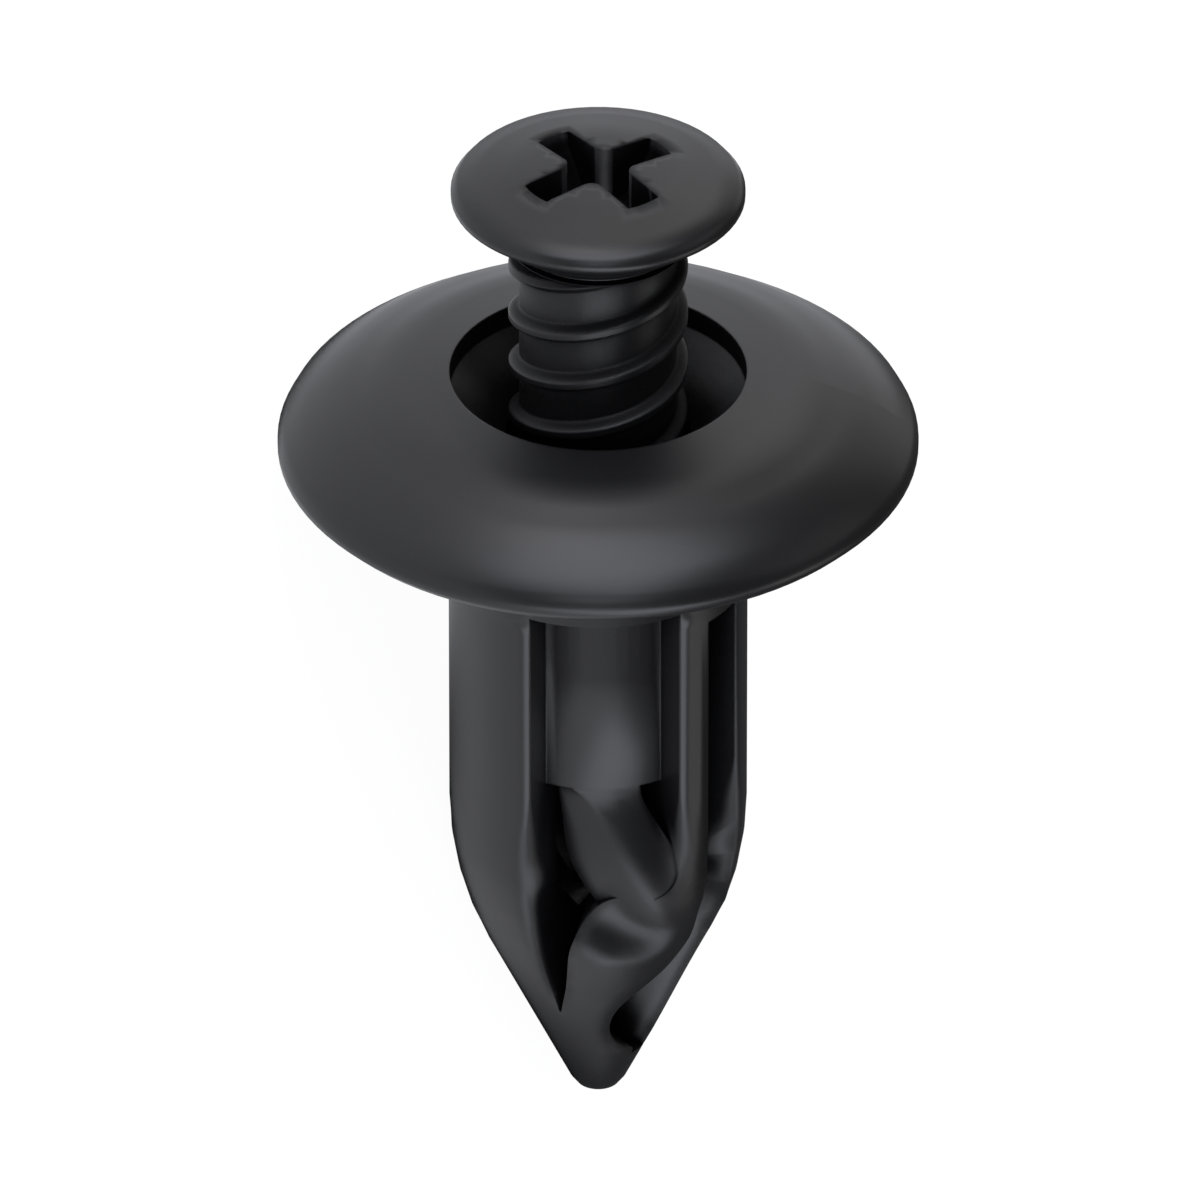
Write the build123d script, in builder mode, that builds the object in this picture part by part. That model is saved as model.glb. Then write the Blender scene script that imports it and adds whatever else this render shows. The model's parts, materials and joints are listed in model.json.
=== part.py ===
"""Screw-type trim clip: a slotted grommet with a domed flange, and the screw that spreads its legs.

Both pieces are modelled upright, with the clip's axis on Z, the flange's seat at Z = 0 and the screw head
above it. Angles go round the axis from the side that shows the open window, which faces -Y, and grow towards
+X. The finished pieces are then laid down as the clip comes to rest on a table: on the rim of its flange and
on both edges of the slot in its nose that the front doesn't show.
"""

import os
from math import atan2, cos, degrees, radians, sin, sqrt, tan

from build123d import *

# Flange, a thin dome with a dished hole for the screw head
flange_radius = 10.0
flange_height = 3.06
flange_rim = 0.9
dome_rise = 0.5
dome_facets = 3
rim_chamfer = 0.27
edge_chamfer = 0.38
seat_width = 1.2
hollow_slope = 0.4
hollow_depth = 0.9

# Screw head and the dish that takes it
head_radius = 4.58
head_band = 0.45
head_chamfer = 0.22
head_dome = 0.65
crown_facets = 2
cone_height = 1.57
head_clearance = 0.06
dish_margin = 0.3

# Cross recess in the head
recess_turn = 36.0
recess_reach = 2.45
recess_width = 1.15
recess_corner = 0.4
recess_depth = 1.9
recess_edge = 0.65
recess_foot = 1.6

# Screw shank: grooves cut in a round bar leave a coarse two-start right-hand thread above a plain pilot
crest_radius = 2.8
root_radius = 2.3
thread_starts = 2
crest_spacing = 1.8
groove_mouth = 1.25
thread_gap = 0.66
thread_phase = 24.0
thread_length = 7.4
neck_radius = 2.55
neck_length = 1.05
screw_length = 19.5
tip_length = 1.5
tip_radius = 1.25
pilot_radius = 2.2

# The screw stands proud by this much, and is driven home by as much
screw_travel = 6.9
bore_clearance = 0.1

# Stem: a round tube with a solid collar, then slimmer legs with windows and slots, the same on both sides
stem_radius = 4.735
collar_length = 3.45
leg_relief = 0.06
relief_height = 0.7
window_start = -27.0
window_end = 33.0
window_depth = 1.13
slot_start = 47.5
slot_end = 67.2
slot_drop = 0.8
sides = 2

# Nose: an ogive that closes the stem
nose_length = 23.66
nose_half_angle = 25.2
nose_tip_radius = 1.0
nose_blend = 11.4
nose_facets = 4
tip_facets = 3
nose_clearance = 0.3

# Opening below the window's floor, which closes to a point in the nose: height above the tip, right edge
opening_start = 13.46
opening_edge = [
    (10.46, 33.0),
    (9.66, 16.0),
    (8.96, -4.0),
    (7.96, -11.5),
    (6.66, -15.0),
    (5.16, -20.5),
    (4.36, -25.5),
]

# Slot round the nose: height above the tip, first and last angle
slot_turn = [
    (9.06, slot_start, slot_end),
    (8.06, 46.0, 75.0),
    (7.06, 42.5, 82.0),
    (5.66, 26.0, 85.0),
    (4.7, 13.0, 85.0),
    (3.7, 8.7, 82.5),
    (2.66, 21.0, 76.0),
    (1.96, 42.0, 66.0),
]

# Arm that carries on from the floor and flares out to the column:
# height above the tip, inset of its band from the stem, right edge, ridge, left foot
arm_stations = [
    (opening_start, 1.135, 21.5, -13.0, -21.0),
    (12.56, 0.965, 25.0, 1.0, -19.5),
    (11.66, 0.605, 31.0, 8.0, -18.0),
    (10.66, 0.265, 36.0, 14.0, -14.5),
    (9.66, 0.175, 40.0, 20.5, -6.0),
    (8.66, 0.335, 44.0, 28.0, 5.0),
    (7.66, 0.785, 46.0, 37.0, 20.0),
]
arm_thickness = 1.4
arm_foot_inset = 1.3

# Soft valley between the arm and the nose's lobe
valley_angle = 10.0
valley_height = 8.56
valley_inset = 1.115
valley_width = 1.8
valley_sweep = 3.5
valley_tilt = -28.0

# Cuts start this far from the axis, and run this far past the wall
cut_core = 0.3
cut_margin = 2.0


def around(radius: float, angle: float) -> tuple[float, float]:
    """Point at a radius from the axis and an angle from the front."""
    return (radius * sin(radians(angle)), -radius * cos(radians(angle)))


def patch(inner: float, outer: float, start: float, end: float) -> list[tuple[float, float]]:
    """Four corners between two radii and two angles."""
    return [around(inner, start), around(outer, start), around(outer, end), around(inner, end)]


bore_radius = crest_radius + bore_clearance
leg_radius = stem_radius - leg_relief
floor_radius = stem_radius - window_depth
dish_radius = head_radius + head_clearance
hollow_edge = flange_radius - edge_chamfer - seat_width
reach = stem_radius + cut_margin

# Screw, raised: its head's rim stands one travel above the flange's lip
rim_height = flange_height + screw_travel
head_top = rim_height + head_dome
cone_foot = rim_height - head_band - cone_height
screw_tip = head_top - screw_length
thread_depth = crest_radius - root_radius
crown_radius = (head_radius**2 + head_dome**2) / (2 * head_dome)
driven_tip = screw_tip - screw_travel
thread_top = cone_foot - thread_gap
thread_foot = thread_top - thread_length

# The nose's cone touches the round tip, and would reach the legs' radius at its shoulder
taper = tan(radians(nose_half_angle))
tip_centre = nose_tip_radius - nose_length
cone_at_tip = nose_tip_radius / cos(radians(nose_half_angle))
tip_edge = (
    nose_tip_radius * cos(radians(nose_half_angle)),
    tip_centre - nose_tip_radius * sin(radians(nose_half_angle)),
)
shoulder = tip_centre + (leg_radius - cone_at_tip) / taper
blend_reach = nose_blend * tan(radians(nose_half_angle / 2))
blend_top = shoulder + blend_reach
blend_foot = (
    leg_radius - blend_reach * sin(radians(nose_half_angle)),
    shoulder - blend_reach * cos(radians(nose_half_angle)),
)

# At rest the slot's edges touch the table at its second station, opposite the side that faces up
rest_height, rest_start, rest_end = slot_turn[1]
rest_depth = nose_length - rest_height
rest_angle = (rest_start + rest_end) / 2
rest_radius = leg_radius - nose_blend + sqrt(nose_blend**2 - (rest_depth + blend_top) ** 2)
rest_fall = flange_radius - rest_radius * cos(radians(rest_end - rest_angle))
rest_tilt = degrees(atan2(rest_fall, rest_depth + edge_chamfer))

# Window: a pocket in the wall, open to the bore below its floor
with BuildPart() as window:
    with BuildSketch(Plane.XY.offset(opening_start - nose_length)):
        Circle(reach)
        Circle(floor_radius, mode=Mode.SUBTRACT)
        with BuildLine():
            Polyline((0, 0), around(3 * reach, window_start), around(3 * reach, window_end), close=True)
        make_face(mode=Mode.INTERSECT)
    extrude(amount=nose_length - opening_start - collar_length)
    with BuildSketch(Plane.XY.offset(opening_edge[0][0] - nose_length)):
        with BuildLine():
            Polyline(*patch(cut_core, reach, window_start, window_end), close=True)
        make_face()
    extrude(amount=opening_start - opening_edge[0][0])
    for height, edge in opening_edge:
        with BuildSketch(Plane.XY.offset(height - nose_length)):
            with BuildLine():
                Polyline(*patch(cut_core, reach, window_start, edge), close=True)
            make_face()
    loft()

# Valley, the side of a ring that dips into the nose below the arm
with BuildPart() as valley:
    ring_centre = around(stem_radius - valley_inset + valley_width + valley_sweep, valley_angle)
    ring_plane = Plane(
        origin=(*ring_centre, valley_height - nose_length),
        x_dir=(*around(1, valley_angle), 0),
        z_dir=(
            cos(radians(valley_angle)) * sin(radians(-valley_tilt)),
            sin(radians(valley_angle)) * sin(radians(-valley_tilt)),
            cos(radians(valley_tilt)),
        ),
    )
    with Locations(ring_plane):
        Torus(valley_sweep, valley_width)

# Arm, lofted through its stations
with BuildPart() as arm:
    for height, inset, right, ridge, foot in arm_stations:
        outer = stem_radius - inset
        with BuildSketch(Plane.XY.offset(height - nose_length)):
            with BuildLine():
                ThreePointArc(around(outer, right), around(outer, (right + ridge) / 2), around(outer, ridge))
                Polyline(
                    around(outer, ridge),
                    around(stem_radius - arm_foot_inset, foot),
                    around(outer - arm_thickness, foot),
                    around(outer - arm_thickness, right),
                    around(outer, right),
                )
            make_face()
    loft()

# Slot beside the column, which turns round the nose below it
with BuildPart() as slot:
    with BuildSketch(Plane.XY.offset(slot_turn[0][0] - nose_length)):
        with BuildLine():
            Polyline(*patch(cut_core, reach, slot_start, slot_end), close=True)
        make_face()
    extrude(amount=nose_length - slot_turn[0][0] - collar_length - slot_drop)
    for height, start, end in slot_turn:
        with BuildSketch(Plane.XY.offset(height - nose_length)):
            with BuildLine():
                Polyline(*patch(cut_core, reach, start, end), close=True)
            make_face()
    loft()

# Dish for the head and bore for the shank, which narrows inside the nose as the screw's tip does
with BuildPart() as bore:
    with BuildSketch(Plane.XZ):
        with BuildLine():
            Polyline(
                (0, flange_height),
                (dish_radius, flange_height),
                (dish_radius, flange_height - head_band - dish_margin),
                (bore_radius, flange_height - head_band - dish_margin - cone_height),
                (bore_radius, driven_tip + tip_length),
                (tip_radius + bore_clearance, driven_tip - nose_clearance),
                (0, driven_tip - nose_clearance),
                close=True,
            )
        make_face()
    revolve(axis=Axis.Z)

# Grommet: flange, collar, stem and nose are turned as one, then cut
with BuildPart() as grommet:
    with BuildSketch(Plane.XZ) as turned:
        with BuildLine():
            dome = SagittaArc((dish_radius, flange_height), (flange_radius, flange_rim), dome_rise, mode=Mode.PRIVATE)
            blend = RadiusArc((leg_radius, blend_top), blend_foot, nose_blend, mode=Mode.PRIVATE)
            tip = RadiusArc(tip_edge, (0, -nose_length), nose_tip_radius, mode=Mode.PRIVATE)
            Line((0, flange_height), (dish_radius, flange_height))
            Polyline([dome @ (step / dome_facets) for step in range(dome_facets + 1)])
            Polyline(
                (flange_radius, flange_rim),
                (flange_radius, 0),
                (hollow_edge, 0),
                (hollow_edge - hollow_slope, hollow_depth),
                (stem_radius, hollow_depth),
                (stem_radius, -collar_length),
                (leg_radius, -collar_length - relief_height),
                (leg_radius, blend_top),
            )
            Polyline([blend @ (step / nose_facets) for step in range(nose_facets + 1)])
            Line(blend_foot, tip_edge)
            Polyline([tip @ (step / tip_facets) for step in range(tip_facets + 1)])
            Line((0, -nose_length), (0, flange_height))
        make_face()
        chamfer(turned.vertices().sort_by_distance((flange_radius, flange_rim))[0], rim_chamfer)
        chamfer(turned.vertices().sort_by_distance((flange_radius, 0))[0], edge_chamfer)
    revolve(axis=Axis.Z)
    with PolarLocations(0, sides):
        add(valley.part, mode=Mode.SUBTRACT)
    with PolarLocations(0, sides):
        add(window.part, mode=Mode.SUBTRACT)
    with PolarLocations(0, sides):
        add(arm.part)
    with PolarLocations(0, sides):
        add(slot.part, mode=Mode.SUBTRACT)
    add(bore.part, mode=Mode.SUBTRACT)

# One groove of the thread, run in from one crest below it
with BuildPart() as groove:
    with BuildLine(Plane.XY.offset(thread_foot - crest_spacing)):
        spiral = Helix(thread_starts * crest_spacing, thread_length + crest_spacing, root_radius)
    with BuildSketch(Plane(origin=spiral @ 0, x_dir=(1, 0, 0), z_dir=spiral % 0)):
        with BuildLine():
            Polyline(
                (0, 0),
                (thread_depth, groove_mouth / 2),
                (2 * thread_depth, groove_mouth / 2),
                (2 * thread_depth, -groove_mouth / 2),
                (thread_depth, -groove_mouth / 2),
                close=True,
            )
        make_face()
    sweep(path=spiral, is_frenet=True)

# Cross recess: two crossed slots whose ends slope in towards the foot
with BuildPart() as recess:
    with BuildSketch(Plane.XY.offset(head_top)) as cross:
        with PolarLocations(0, 2, start_angle=recess_turn, angular_range=180):
            Rectangle(2 * head_radius, recess_width)
        fillet(cross.vertices().sort_by_distance((0, 0, head_top))[:4], recess_corner)
    extrude(amount=-recess_depth)
    with BuildSketch(Plane.XZ):
        with BuildLine():
            Polyline(
                (0, head_top),
                (recess_reach, head_top),
                (recess_reach, head_top - recess_edge),
                (recess_foot, head_top - recess_depth),
                (0, head_top - recess_depth),
                close=True,
            )
        make_face()
    revolve(axis=Axis.Z, mode=Mode.INTERSECT)

with BuildPart() as screw:
    with BuildSketch(Plane.XY.offset(screw_tip)):
        Circle(crest_radius)
    extrude(amount=cone_foot - screw_tip)
    with PolarLocations(0, thread_starts, start_angle=thread_phase):
        add(groove.part, mode=Mode.SUBTRACT)
    with BuildSketch(Plane.XZ):
        with BuildLine():
            Polyline(
                (0, screw_tip),
                (tip_radius, screw_tip),
                (pilot_radius, screw_tip + tip_length),
                (pilot_radius, thread_foot),
                (crest_radius, thread_foot + crest_radius - pilot_radius),
                (crest_radius + cut_margin, thread_foot + crest_radius - pilot_radius),
                (crest_radius + cut_margin, cone_foot - neck_length - cut_margin),
                (neck_radius, cone_foot - neck_length + crest_radius - neck_radius),
                (neck_radius, cone_foot),
                (0, cone_foot),
                close=True,
            )
        make_face()
    revolve(axis=Axis.Z, mode=Mode.INTERSECT)
    with BuildSketch(Plane.XZ) as head:
        with BuildLine():
            crown = RadiusArc((0, head_top), (head_radius, rim_height), crown_radius, mode=Mode.PRIVATE)
            Polyline([crown @ (step / crown_facets) for step in range(crown_facets + 1)])
            Polyline(
                (head_radius, rim_height),
                (head_radius, rim_height - head_band),
                (neck_radius, cone_foot),
                (0, cone_foot),
                (0, head_top),
            )
        make_face()
        chamfer(head.vertices().sort_by_distance((head_radius, rim_height))[0], head_chamfer)
    revolve(axis=Axis.Z)
    add(recess.part, mode=Mode.SUBTRACT)

# Laid down, with the middle of its footprint at the origin
rest_turn = Rotation(rest_tilt - 90, 0, 0) * Rotation(0, 0, -rest_angle)
footprint = (rest_turn * Compound([grommet.part, screw.part])).bounding_box()
rest = Pos(-footprint.center().X, -footprint.center().Y, -footprint.min.Z) * rest_turn
grommet_body = rest * grommet.part
expander_screw = rest * screw.part

os.makedirs("parts", exist_ok=True)
grommet_body.label = "grommet_body"
expander_screw.label = "expander_screw"
export_step(grommet_body, "parts/grommet_body.step")
export_step(expander_screw, "parts/expander_screw.step")
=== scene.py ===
"""Studio picture of a screw-type plastic trim clip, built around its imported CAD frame.

The clip lies on a white table as it comes to rest, and the camera looks along the direction in which the
photograph shows it. The grommet keeps its CAD mesh, and the screw keeps its CAD head above a finely modelled
thread. Both get their moulded nylon finish with soft edges. The table, the lights and the camera are added.
"""

from __future__ import annotations

import json
import logging
from bisect import bisect
from collections import defaultdict
from dataclasses import dataclass
from enum import Enum
from math import cos, pi, radians, sin

import bmesh
import bpy
from mathutils import Matrix, Vector

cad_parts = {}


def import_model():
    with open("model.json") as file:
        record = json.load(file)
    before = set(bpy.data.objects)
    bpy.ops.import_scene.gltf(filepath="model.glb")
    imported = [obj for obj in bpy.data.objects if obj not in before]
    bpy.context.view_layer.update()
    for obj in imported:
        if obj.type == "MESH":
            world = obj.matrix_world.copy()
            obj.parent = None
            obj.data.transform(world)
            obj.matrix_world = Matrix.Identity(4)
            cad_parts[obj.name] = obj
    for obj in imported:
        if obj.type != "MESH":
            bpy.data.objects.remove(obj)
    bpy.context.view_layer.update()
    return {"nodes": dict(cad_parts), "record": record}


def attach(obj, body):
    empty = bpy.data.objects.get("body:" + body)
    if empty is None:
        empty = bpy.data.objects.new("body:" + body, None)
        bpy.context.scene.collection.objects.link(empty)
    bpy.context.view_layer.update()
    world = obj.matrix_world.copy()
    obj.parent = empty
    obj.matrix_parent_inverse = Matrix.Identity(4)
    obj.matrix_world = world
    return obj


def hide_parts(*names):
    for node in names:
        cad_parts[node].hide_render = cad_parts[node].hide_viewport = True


LOG = logging.getLogger("clip_scene")
MM = 0.001
WELD_WITHIN = 0.001 * MM
REAL_EDGE = radians(50.0)
WHITE = (1.0, 1.0, 1.0)
COOL = (0.9, 0.915, 1.0)
WARM = (1.0, 0.965, 0.94)


class Node(Enum):
    """CAD nodes of the clip."""

    GROMMET = "grommet_body"
    SCREW = "expander_screw"


@dataclass(frozen=True)
class NylonFinish:
    """Moulded black nylon: a near-black base under a satin skin that turns dull in hollows, and black there
    by painted shade.

    Lengths are in metres. A spot counts as a hollow where less than ``hollow_start`` of the sky within
    ``hollow_reach`` is open, and fully so below ``hollow_full``.
    """

    name: str
    edge_radius: float
    hollow_reach: float
    hollow_start: float
    hollow_full: float
    hollow_roughness: float = 0.95
    base: tuple[float, float, float] = (0.006, 0.006, 0.0068)
    roughness: float = 0.36
    roughness_spread: float = 0.06
    grain_size: float = 0.09 * MM
    grain_height: float = 0.001 * MM
    ior: float = 1.5


@dataclass(frozen=True)
class ArmEdges:
    """Where along the stem the edges grow rounder, and how round they get at the twisted arms.

    Heights above the seat and the radius are in metres.
    """

    start: float = -10.0 * MM
    full: float = -12.4 * MM
    radius: float = 0.85 * MM


@dataclass(frozen=True)
class Softbox:
    """A rectangular area light that faces the clip.

    ``toward`` is the direction from the clip to the light in (right, up, towards the camera) of the picture.
    Lengths are in metres.
    """

    name: str
    toward: tuple[float, float, float]
    distance: float
    width: float
    height: float
    radiance: float
    colour: tuple[float, float, float] = WHITE


@dataclass(frozen=True)
class Table:
    """White table top, and what it shows to the camera, to reflections and to shadows.

    The clip reflects the table as a bright glow, and as dark behind the stem, where a painted shadow stands
    for its own shadow.
    Lengths are in metres.
    """

    half_width: float = 3.0
    albedo: float = 0.8
    camera_glow: float = 0.85
    glow_strength: float = 1.12
    mirror: float = 0.95
    mirror_colour: tuple[float, float, float] = (0.93, 0.94, 1.0)
    shade_depth: float = 0.9
    shade_side: tuple[float, float] = (-5.5 * MM, -1.0 * MM)
    shade_along: tuple[float, float] = (-4.0 * MM, 5.0 * MM)


@dataclass(frozen=True)
class Shot:
    """Where the picture is taken from, in the clip's own frame.

    The pitch is in degrees, the lens and the sensor are in millimetres, and all else is in metres.
    """

    pitch: float = 32.8
    picture_width: float = 37.44 * MM
    lens: float = 1000.0
    sensor: float = 36.0
    sight: float = 20.0
    shift_right: float = 0.059 * MM
    shift_up: float = -4.587 * MM


GROMMET_FINISH = NylonFinish(
    name="grommet_nylon", edge_radius=0.1 * MM, hollow_reach=2.6 * MM, hollow_start=0.66, hollow_full=0.48
)
SCREW_FINISH = NylonFinish(
    name="screw_nylon", edge_radius=0.07 * MM, hollow_reach=1.4 * MM, hollow_start=0.96, hollow_full=0.66
)
AMBIENT = 0.08
SOFTBOXES = (
    Softbox("head_box", (0.0, 0.66, 0.75), 0.45, 0.38, 0.36, 2.8, COOL),
    Softbox("top_box", (0.0, 0.99, 0.12), 0.5, 0.6, 0.3, 0.9, WARM),
    Softbox("far_box", (0.55, 0.68, -0.45), 0.5, 0.5, 0.25, 0.45, WARM),
    Softbox("right_box", (0.9, 0.3, 0.3), 0.5, 0.3, 0.4, 0.3),
    Softbox("nose_box", (0.82, -0.54, -0.1), 0.5, 0.25, 0.25, 0.9),
    Softbox("foot_box", (0.1, -0.9, 0.36), 0.5, 0.6, 0.32, 2.25, COOL),
    Softbox("camera_box", (0.0, -0.1, 1.0), 0.7, 0.3, 0.3, 1.6, COOL),
)


class ClipFrame:
    """The clip's own axes in the row frame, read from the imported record."""

    def __init__(self, record: dict, shot: Shot) -> None:
        """Reads the axis, where it passes the flange's seat, and the side that faces the camera.

        Args:
            record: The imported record.
            shot: Where the picture is taken from.
        """
        mounts = {mount["name"]: mount for mount in record["mounts"]}
        collar = Vector(mounts["stem_collar"]["pos_m"])
        ring = Vector(mounts["flange_seat"]["pos_m"])
        self.axis = -Vector(mounts["stem_collar"]["axis"]).normalized()
        self.seat = collar + self.axis * (ring - collar).dot(self.axis)
        self.front = (ring - self.seat).normalized()
        pitch = radians(shot.pitch)
        self.toward = (self.front * cos(pitch) + self.axis * sin(pitch)).normalized()
        self.up = (self.axis * cos(pitch) - self.front * sin(pitch)).normalized()
        self.right = self.up.cross(self.toward).normalized()

    def place(self, point: Vector) -> tuple[float, Vector]:
        """Says where a point is on the clip.

        Args:
            point: The point, in the row frame.

        Returns:
            Its height above the seat, and its direction out from the axis, of length one.
        """
        reach = point - self.seat
        height = reach.dot(self.axis)
        return height, (reach - self.axis * height).normalized()

    def from_picture(self, right: float, up: float, toward: float) -> Vector:
        """Turns a direction of the picture into one of the row frame.

        Args:
            right: Share to the right of the picture.
            up: Share up the picture.
            toward: Share towards the camera.

        Returns:
            The direction, of length one.
        """
        return (self.right * right + self.up * up + self.toward * toward).normalized()


def new_group(name: str, outputs: dict[str, str], inputs: tuple[str, ...]) -> bpy.types.ShaderNodeTree:
    """Makes an empty shader node group with its sockets.

    Args:
        name: The group's name.
        outputs: Socket type of each output by its name.
        inputs: Names of the inputs, which are all single numbers.

    Returns:
        The group, with its input and output nodes in place.
    """
    tree = bpy.data.node_groups.new(name, "ShaderNodeTree")
    for label in inputs:
        tree.interface.new_socket(name=label, in_out="INPUT", socket_type="NodeSocketFloat")
    for label, kind in outputs.items():
        tree.interface.new_socket(name=label, in_out="OUTPUT", socket_type=kind)
    tree.nodes.new("NodeGroupInput").name = "in"
    tree.nodes.new("NodeGroupOutput").name = "out"
    return tree


def smooth_step(
    tree: bpy.types.ShaderNodeTree,
    value: bpy.types.NodeSocket,
    source: tuple[float, float],
    target: tuple[float, float],
) -> bpy.types.NodeSocket:
    """Adds a smooth step from one range to another.

    Args:
        tree: The node tree that takes it.
        value: What is mapped.
        source: Its range.
        target: The range it is mapped to.

    Returns:
        The mapped value.
    """
    ramp = tree.nodes.new("ShaderNodeMapRange")
    ramp.interpolation_type = "SMOOTHSTEP"
    ramp.inputs["From Min"].default_value, ramp.inputs["From Max"].default_value = source
    ramp.inputs["To Min"].default_value, ramp.inputs["To Max"].default_value = target
    tree.links.new(value, ramp.inputs["Value"])
    return ramp.outputs["Result"]


@dataclass(frozen=True)
class MouldedSkin:
    """Skin that every nylon shares: soft edges, fine grain, an uneven sheen, and dull hollows darkened by
    painted shade.

    ``patches`` is how many patches of uneven sheen a metre has.
    """

    samples: int = 6
    grain_detail: float = 2.0
    patches: float = 260.0
    patch_detail: float = 3.0
    noise_middle: float = 0.5

    def build(self) -> bpy.types.ShaderNodeTree:
        """Makes the shader node group.

        Returns:
            A group with a normal, a roughness and a hollow shade output, which is a painted shade.
        """
        tree = new_group(
            "moulded_skin",
            {"Normal": "NodeSocketVector", "Roughness": "NodeSocketFloat", "Hollow Shade": "NodeSocketFloat"},
            (
                "Edge Radius",
                "Grain Size",
                "Grain Height",
                "Roughness",
                "Spread",
                "Hollow Reach",
                "Hollow Start",
                "Hollow Full",
                "Hollow Roughness",
            ),
        )
        place = tree.nodes.new("ShaderNodeTexCoord").outputs["Object"]
        self._add_normal(tree, place)
        sheen = self._add_sheen(tree, place)
        self._add_painted_hollow_shade(tree, sheen)
        return tree

    def _add_normal(self, tree: bpy.types.ShaderNodeTree, place: bpy.types.NodeSocket) -> None:
        """Adds the soft edges with the fine grain on top.

        Args:
            tree: The group.
            place: Position on the object.
        """
        nodes, link = tree.nodes, tree.links.new
        given = nodes["in"].outputs
        edge = nodes.new("ShaderNodeBevel")
        edge.samples = self.samples
        link(given["Edge Radius"], edge.inputs["Radius"])
        frequency = nodes.new("ShaderNodeMath")
        frequency.operation = "DIVIDE"
        frequency.inputs[0].default_value = 1.0
        link(given["Grain Size"], frequency.inputs[1])
        grain = nodes.new("ShaderNodeTexNoise")
        grain.inputs["Detail"].default_value = self.grain_detail
        link(place, grain.inputs["Vector"])
        link(frequency.outputs[0], grain.inputs["Scale"])
        bump = nodes.new("ShaderNodeBump")
        bump.inputs["Strength"].default_value = 1.0
        link(given["Grain Height"], bump.inputs["Distance"])
        link(grain.outputs["Fac"], bump.inputs["Height"])
        link(edge.outputs["Normal"], bump.inputs["Normal"])
        link(bump.outputs["Normal"], nodes["out"].inputs["Normal"])

    def _add_sheen(
        self, tree: bpy.types.ShaderNodeTree, place: bpy.types.NodeSocket
    ) -> bpy.types.NodeSocket:
        """Adds the uneven sheen of the open surface.

        Args:
            tree: The group.
            place: Position on the object.

        Returns:
            Its roughness.
        """
        nodes, link = tree.nodes, tree.links.new
        given = nodes["in"].outputs
        cloud = nodes.new("ShaderNodeTexNoise")
        cloud.inputs["Scale"].default_value = self.patches
        cloud.inputs["Detail"].default_value = self.patch_detail
        link(place, cloud.inputs["Vector"])
        centred = nodes.new("ShaderNodeMath")
        centred.operation = "SUBTRACT"
        centred.inputs[1].default_value = self.noise_middle
        link(cloud.outputs["Fac"], centred.inputs[0])
        uneven = nodes.new("ShaderNodeMath")
        uneven.operation = "MULTIPLY_ADD"
        link(centred.outputs[0], uneven.inputs[0])
        link(given["Spread"], uneven.inputs[1])
        link(given["Roughness"], uneven.inputs[2])
        return uneven.outputs[0]

    def _add_painted_hollow_shade(self, tree: bpy.types.ShaderNodeTree, sheen: bpy.types.NodeSocket) -> None:
        """Adds the mask of the hollows, makes them dull, and puts the mask out as a painted shade that turns
        them black.

        Args:
            tree: The group.
            sheen: Roughness of the open surface.
        """
        nodes, link = tree.nodes, tree.links.new
        given, result = nodes["in"].outputs, nodes["out"].inputs
        open_sky = nodes.new("ShaderNodeAmbientOcclusion")
        open_sky.samples = self.samples
        link(given["Hollow Reach"], open_sky.inputs["Distance"])
        # Painted shade: the less open sky a spot has, the more it counts as a shaded hollow.
        hollow_shade = nodes.new("ShaderNodeMapRange")
        hollow_shade.interpolation_type = "SMOOTHSTEP"
        link(given["Hollow Start"], hollow_shade.inputs["From Min"])
        link(given["Hollow Full"], hollow_shade.inputs["From Max"])
        link(open_sky.outputs["AO"], hollow_shade.inputs["Value"])
        dull = nodes.new("ShaderNodeMix")
        link(hollow_shade.outputs["Result"], dull.inputs["Factor"])
        link(sheen, dull.inputs["A"])
        link(given["Hollow Roughness"], dull.inputs["B"])
        link(dull.outputs["Result"], result["Roughness"])
        link(hollow_shade.outputs["Result"], result["Hollow Shade"])


def soften_arms(
    material: bpy.types.Material, group: bpy.types.ShaderNodeGroup, frame: ClipFrame, edges: ArmEdges
) -> None:
    """Gives the twisted arms and the nose rounder edges than the rest, as they have in the mould.

    Args:
        material: The grommet's material.
        group: Its moulded skin.
        frame: The clip's own axes.
        edges: Where the edges grow rounder, and how round.
    """
    tree = material.node_tree
    place = tree.nodes.new("ShaderNodeTexCoord")
    along = tree.nodes.new("ShaderNodeVectorMath")
    along.operation = "DOT_PRODUCT"
    along.inputs[1].default_value = frame.axis
    tree.links.new(place.outputs["Object"], along.inputs[0])
    seat = frame.seat.dot(frame.axis)
    radius = group.inputs["Edge Radius"]
    grown = smooth_step(
        tree,
        along.outputs["Value"],
        (seat + edges.start, seat + edges.full),
        (radius.default_value, edges.radius),
    )
    tree.links.new(grown, radius)


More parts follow.
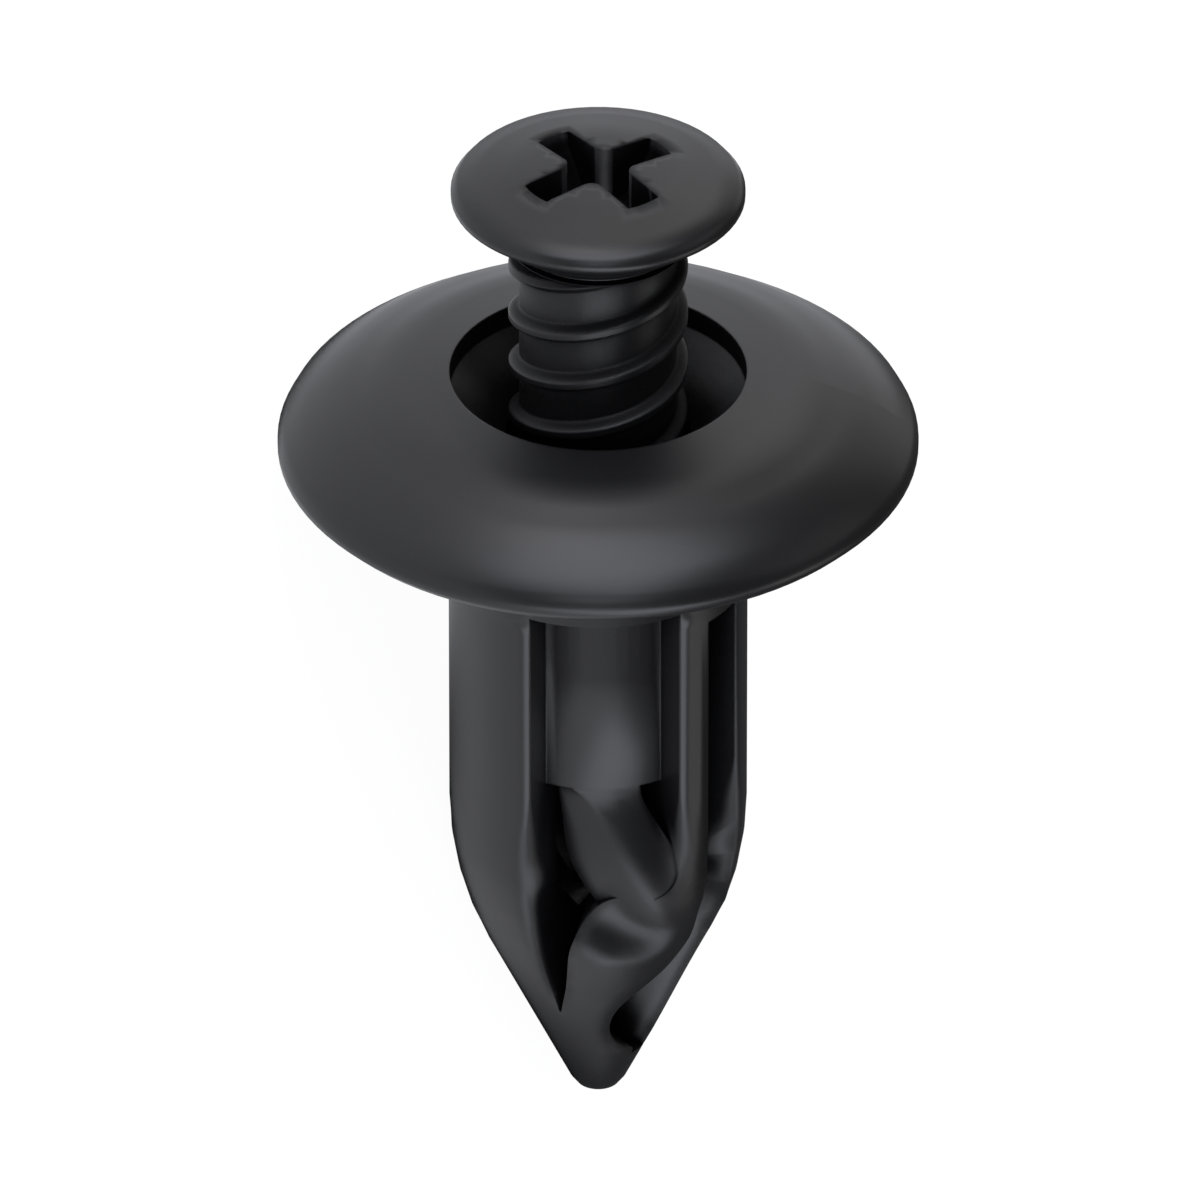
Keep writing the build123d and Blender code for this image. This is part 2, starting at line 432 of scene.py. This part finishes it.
def nylon_material(finish: NylonFinish, skin: bpy.types.ShaderNodeTree) -> bpy.types.Material:
    """Makes the material of one finish.

    Args:
        finish: The finish.
        skin: The shared group for the moulded skin.

    Returns:
        The material.
    """
    material = bpy.data.materials.new(finish.name)
    material.use_nodes = True
    nodes, link = material.node_tree.nodes, material.node_tree.links.new
    shader = nodes["Principled BSDF"]
    shader.inputs["Base Color"].default_value = (*finish.base, 1.0)
    shader.inputs["IOR"].default_value = finish.ior
    group = nodes.new("ShaderNodeGroup")
    group.name = skin.name
    group.node_tree = skin
    values = {
        "Edge Radius": finish.edge_radius,
        "Grain Size": finish.grain_size,
        "Grain Height": finish.grain_height,
        "Roughness": finish.roughness,
        "Spread": finish.roughness_spread,
        "Hollow Reach": finish.hollow_reach,
        "Hollow Start": finish.hollow_start,
        "Hollow Full": finish.hollow_full,
        "Hollow Roughness": finish.hollow_roughness,
    }
    for label, value in values.items():
        group.inputs[label].default_value = value
    link(group.outputs["Normal"], shader.inputs["Normal"])
    link(group.outputs["Roughness"], shader.inputs["Roughness"])
    # Painted shade: the hollow mask sets Metallic, so the near-black base renders black in hollows.
    link(group.outputs["Hollow Shade"], shader.inputs["Metallic"])
    return material


def shade_by_angle(item: bpy.types.Object) -> None:
    """Shades an object smoothly except at its real edges.

    Args:
        item: The object.
    """
    bpy.ops.object.select_all(action="DESELECT")
    bpy.context.view_layer.objects.active = item
    item.select_set(True)
    if item.data.has_custom_normals:
        bpy.ops.mesh.customdata_custom_splitnormals_clear()
    bpy.ops.object.shade_auto_smooth(angle=REAL_EDGE)


@dataclass(frozen=True)
class SoftRings:
    """How to tell the rings on which two turned faces of the grommet's outside meet without an edge.

    A turned outer face has more than ``outward`` of its normal pointing away from the axis, and less than
    ``sideways`` of it round the axis. A ring has at least ``fewest`` spots where two such faces meet, all
    within ``band`` of its height, in metres.
    """

    outward: float = 0.1
    sideways: float = 0.1
    fewest: int = 20
    band: float = 0.02 * MM


class GrommetBody:
    """The grommet: its CAD mesh as it is, with its finish and with turned faces that shade as one."""

    def __init__(self, item: bpy.types.Object, material: bpy.types.Material, frame: ClipFrame) -> None:
        """Dresses the grommet, without moving a vertex of the CAD mesh.

        Args:
            item: The CAD node's object.
            material: Its material.
            frame: The clip's own axes.
        """
        self.item = item
        self.frame = frame
        self.rings = SoftRings()
        item.data.materials.clear()
        item.data.materials.append(material)
        self._weld_rings()
        shade_by_angle(item)

    def _soft_spots(self) -> list[float]:
        """Finds the spots where two turned outer faces meet without an edge.

        Each face of the CAD mesh has its own vertex at such a spot, with its own normal.

        Returns:
            Heights of the spots, in order.
        """
        spots = defaultdict(list)
        for vertex in self.item.data.vertices:
            height, outward = self.frame.place(vertex.co)
            sideways = self.frame.axis.cross(outward)
            if vertex.normal.dot(outward) < self.rings.outward:
                continue
            if abs(vertex.normal.dot(sideways)) < self.rings.sideways:
                spot = tuple(round(value / WELD_WITHIN) for value in vertex.co)
                spots[spot].append((height, vertex.normal))
        meetings = [faces[:2] for faces in spots.values() if len(faces) > 1]
        return sorted(height for (height, one), (_, other) in meetings if one.angle(other) < REAL_EDGE)

    def _weld_rings(self) -> None:
        """Joins the faces that meet at a soft ring, so that they shade as one."""
        soft = self._soft_spots()
        chosen = []
        for vertex in self.item.data.vertices:
            height, _ = self.frame.place(vertex.co)
            near = bisect(soft, height + self.rings.band) - bisect(soft, height - self.rings.band)
            if near >= self.rings.fewest:
                chosen.append(vertex.index)
        group = self.item.vertex_groups.new(name="soft_rings")
        group.add(chosen, 1.0, "REPLACE")
        weld = self.item.modifiers.new("weld", "WELD")
        weld.merge_threshold = WELD_WITHIN
        weld.vertex_group = group.name
        LOG.info("%d of %d vertices on soft rings", len(chosen), len(self.item.data.vertices))


@dataclass(frozen=True)
class ThreadSizes:
    """Sizes of the screw's thread: thin rounded crests that wind round a thick core, right-hand.

    Lengths are in millimetres. Heights count from the seat, and angles in turns from the side that faces the
    camera.
    """

    starts: int = 2
    spacing: float = 1.8
    core_radius: float = 2.46
    crest_radius: float = 2.8
    crest_half: float = 0.1
    foot_half: float = 0.36
    crest_height: float = 4.3
    neck_cut: float = 7.9
    neck_overlap: float = 0.1
    run_out: float = 0.9
    tip: float = -8.89
    tip_length: float = 1.5
    tip_radius: float = 1.25
    row_height: float = 0.05
    segments: int = 128


class ExpanderScrew:
    """The screw: its head and neck as the CAD has them, above a finely modelled thread."""

    def __init__(self, source: bpy.types.Object, material: bpy.types.Material, frame: ClipFrame) -> None:
        """Builds the screw in place of its CAD node.

        Args:
            source: The CAD node's object.
            material: Its material.
            frame: The clip's own axes.
        """
        self.frame = frame
        self.sizes = ThreadSizes()
        form = bmesh.new()
        form.from_mesh(source.data)
        self._keep_head(form)
        self._add_thread(form)
        mesh = bpy.data.meshes.new("threaded_screw")
        form.to_mesh(mesh)
        form.free()
        mesh.materials.append(material)
        self.item = bpy.data.objects.new("threaded_screw", mesh)
        bpy.context.scene.collection.objects.link(self.item)
        shade_by_angle(self.item)
        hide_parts(Node.SCREW.value)
        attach(self.item, "screw")

    def _keep_head(self, form: bmesh.types.BMesh) -> None:
        """Cuts the shank away below the neck and closes the cut.

        Args:
            form: The screw's CAD mesh.
        """
        bmesh.ops.remove_doubles(form, verts=form.verts, dist=WELD_WITHIN)
        cut = bmesh.ops.bisect_plane(
            form,
            geom=form.verts[:] + form.edges[:] + form.faces[:],
            plane_co=self.frame.seat + self.frame.axis * self.sizes.neck_cut * MM,
            plane_no=self.frame.axis,
            clear_inner=True,
        )
        rim = [part for part in cut["geom_cut"] if isinstance(part, bmesh.types.BMEdge)]
        bmesh.ops.edgeloop_fill(form, edges=rim)

    def _crest_share(self, height: float, turn: float) -> float:
        """Says how far the thread stands out of the core at a point.

        Args:
            height: Height above the seat.
            turn: Angle in turns, from the front towards the right of the picture.

        Returns:
            0 on the core, 1 on a crest.
        """
        sizes = self.sizes
        wound = (height - sizes.crest_height) / sizes.spacing - turn * sizes.starts
        away = abs(wound - round(wound)) * sizes.spacing
        slope = min(max((sizes.foot_half - away) / (sizes.foot_half - sizes.crest_half), 0.0), 1.0)
        below_neck = (sizes.neck_cut - height) / sizes.run_out
        above_tip = (height - sizes.tip - sizes.tip_length) / sizes.run_out
        fade = min(max(min(below_neck, above_tip), 0.0), 1.0)
        return slope * slope * (3.0 - 2.0 * slope) * fade

    def _add_thread(self, form: bmesh.types.BMesh) -> None:
        """Adds the threaded shank as a closed tube of fine rows.

        Args:
            form: The mesh that takes it.
        """
        sizes, frame = self.sizes, self.frame
        top = sizes.neck_cut + sizes.neck_overlap
        rows = round((top - sizes.tip) / sizes.row_height)
        rings = []
        for row in range(rows + 1):
            height = sizes.tip + (top - sizes.tip) * row / rows
            taper = min((height - sizes.tip) / sizes.tip_length, 1.0)
            core = sizes.tip_radius + (sizes.core_radius - sizes.tip_radius) * taper
            ring = []
            for step in range(sizes.segments):
                turn = step / sizes.segments
                reach = core + (sizes.crest_radius - core) * self._crest_share(height, turn)
                side = frame.front * cos(2 * pi * turn) + frame.right * sin(2 * pi * turn)
                ring.append(form.verts.new(frame.seat + (frame.axis * height + side * reach) * MM))
            rings.append(ring)
        for lower, upper in zip(rings, rings[1:]):
            for step in range(sizes.segments):
                after = (step + 1) % sizes.segments
                form.faces.new((lower[step], lower[after], upper[after], upper[step]))
        form.faces.new(list(reversed(rings[0])))
        form.faces.new(rings[-1])


class TableTop:
    """The white table that the clip lies on."""

    def __init__(self, spec: Table) -> None:
        """Builds the table.

        Args:
            spec: Its sizes and brightness.
        """
        self.spec = spec
        bpy.ops.mesh.primitive_plane_add(size=2 * spec.half_width, location=(0, 0, 0))
        self.item = bpy.context.object
        self.item.name = "table_top"
        self.item.data.materials.append(self._material())

    def _material(self) -> bpy.types.Material:
        """Makes the table's material: white to the camera, and to reflections a glow with a painted shadow
        behind the stem.

        Returns:
            The material.
        """
        material = bpy.data.materials.new("table_white")
        material.use_nodes = True
        tree = material.node_tree
        nodes, link = tree.nodes, tree.links.new
        nodes.clear()
        out = nodes.new("ShaderNodeOutputMaterial")
        paint = nodes.new("ShaderNodeBsdfDiffuse")
        paint.inputs["Color"].default_value = (self.spec.albedo,) * 3 + (1.0,)
        glow = nodes.new("ShaderNodeEmission")
        glow.inputs["Strength"].default_value = self.spec.glow_strength
        seen = nodes.new("ShaderNodeMixShader")
        seen.inputs["Fac"].default_value = self.spec.camera_glow
        link(paint.outputs[0], seen.inputs[1])
        link(glow.outputs[0], seen.inputs[2])

        # Painted reflection and painted shadow: to glossy rays the table glows instead of showing its lit
        # paint, and glows less behind the stem.
        place = nodes.new("ShaderNodeNewGeometry")
        split = nodes.new("ShaderNodeSeparateXYZ")
        link(place.outputs["Position"], split.inputs[0])
        behind = smooth_step(tree, split.outputs["X"], self.spec.shade_side, (0.0, 1.0))
        stem = smooth_step(tree, split.outputs["Y"], self.spec.shade_along, (self.spec.shade_depth, 0.0))
        shade = nodes.new("ShaderNodeMath")
        shade.operation = "MULTIPLY"
        link(behind, shade.inputs[0])
        link(stem, shade.inputs[1])
        shown = nodes.new("ShaderNodeMath")
        shown.operation = "MULTIPLY_ADD"
        shown.inputs[1].default_value = -self.spec.mirror
        shown.inputs[2].default_value = self.spec.mirror
        link(shade.outputs[0], shown.inputs[0])
        painted_reflection = nodes.new("ShaderNodeEmission")
        painted_reflection.inputs["Color"].default_value = (*self.spec.mirror_colour, 1.0)
        link(shown.outputs[0], painted_reflection.inputs["Strength"])

        path = nodes.new("ShaderNodeLightPath")
        glossy = nodes.new("ShaderNodeMixShader")
        link(path.outputs["Is Glossy Ray"], glossy.inputs["Fac"])
        link(paint.outputs[0], glossy.inputs[1])
        link(painted_reflection.outputs[0], glossy.inputs[2])
        camera = nodes.new("ShaderNodeMixShader")
        link(path.outputs["Is Camera Ray"], camera.inputs["Fac"])
        link(glossy.outputs[0], camera.inputs[1])
        link(seen.outputs[0], camera.inputs[2])
        link(camera.outputs[0], out.inputs["Surface"])
        return material


class Studio:
    """Lights, surroundings and camera.

    ``POWER`` is a lamp's power for each unit of radiance and of area.
    """

    POWER = 4.0

    def __init__(self, frame: ClipFrame, shot: Shot, boxes: tuple[Softbox, ...], ambient: float) -> None:
        """Sets the studio up.

        Args:
            frame: The clip's own axes.
            shot: Where the picture is taken from.
            boxes: The area lights.
            ambient: Brightness of the surroundings.
        """
        self.frame = frame
        for box in boxes:
            self._softbox(box)
        self._surroundings(ambient)
        self._camera(shot)

    def _softbox(self, box: Softbox) -> None:
        """Hangs one softbox.

        Args:
            box: The light.
        """
        light = bpy.data.lights.new(box.name, "AREA")
        light.shape = "RECTANGLE"
        light.color = box.colour
        light.size = box.width
        light.size_y = box.height
        light.energy = box.radiance * self.POWER * box.width * box.height
        item = bpy.data.objects.new(box.name, light)
        bpy.context.scene.collection.objects.link(item)
        toward = self.frame.from_picture(*box.toward)
        item.location = self.frame.seat + toward * box.distance
        item.rotation_euler = toward.to_track_quat("Z", "Y").to_euler()

    def _surroundings(self, ambient: float) -> None:
        """Makes the world: white to the camera, dim to everything else.

        Args:
            ambient: Brightness of the surroundings.
        """
        world = bpy.data.worlds.new("studio")
        world.use_nodes = True
        bpy.context.scene.world = world
        tree = world.node_tree
        nodes, link = tree.nodes, tree.links.new
        dim = nodes["Background"]
        dim.inputs["Strength"].default_value = ambient
        white = nodes.new("ShaderNodeBackground")
        for background in (dim, white):
            background.inputs["Color"].default_value = (*WHITE, 1.0)
        path = nodes.new("ShaderNodeLightPath")
        mix = nodes.new("ShaderNodeMixShader")
        link(path.outputs["Is Camera Ray"], mix.inputs["Fac"])
        link(dim.outputs[0], mix.inputs[1])
        link(white.outputs[0], mix.inputs[2])
        link(mix.outputs[0], nodes["World Output"].inputs["Surface"])

    def _camera(self, shot: Shot) -> None:
        """Places the camera far off with a long lens, as the photograph shows almost no perspective.

        Args:
            shot: Where the picture is taken from.
        """
        lens = bpy.data.cameras.new("camera")
        lens.lens = shot.lens
        lens.sensor_width = shot.sensor
        lens.clip_end = shot.sight
        item = bpy.data.objects.new("camera", lens)
        bpy.context.scene.collection.objects.link(item)
        frame = self.frame
        target = frame.seat + frame.right * shot.shift_right + frame.up * shot.shift_up
        distance = shot.picture_width * shot.lens / shot.sensor
        turn = Matrix((frame.right, frame.up, frame.toward)).transposed().to_4x4()
        item.matrix_world = Matrix.Translation(target + frame.toward * distance) @ turn
        bpy.context.scene.camera = item


def main() -> None:
    """Builds the scene and reports its pieces."""
    logging.basicConfig(level=logging.INFO)
    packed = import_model()
    shot = Shot()
    frame = ClipFrame(packed["record"], shot)
    skin = MouldedSkin().build()
    grommet_nylon = nylon_material(GROMMET_FINISH, skin)
    soften_arms(grommet_nylon, grommet_nylon.node_tree.nodes[skin.name], frame, ArmEdges())
    screw_nylon = nylon_material(SCREW_FINISH, skin)
    pieces = (
        GrommetBody(packed["nodes"][Node.GROMMET.value], grommet_nylon, frame),
        ExpanderScrew(packed["nodes"][Node.SCREW.value], screw_nylon, frame),
        TableTop(Table()),
    )
    for piece in pieces:
        LOG.info("%s: %d faces", piece.item.name, len(piece.item.data.polygons))
    Studio(frame, shot, SOFTBOXES, AMBIENT)
    bpy.context.scene.view_settings.view_transform = "Standard"
    LOG.info("clip scene built")


if __name__ == "__main__":
    main()
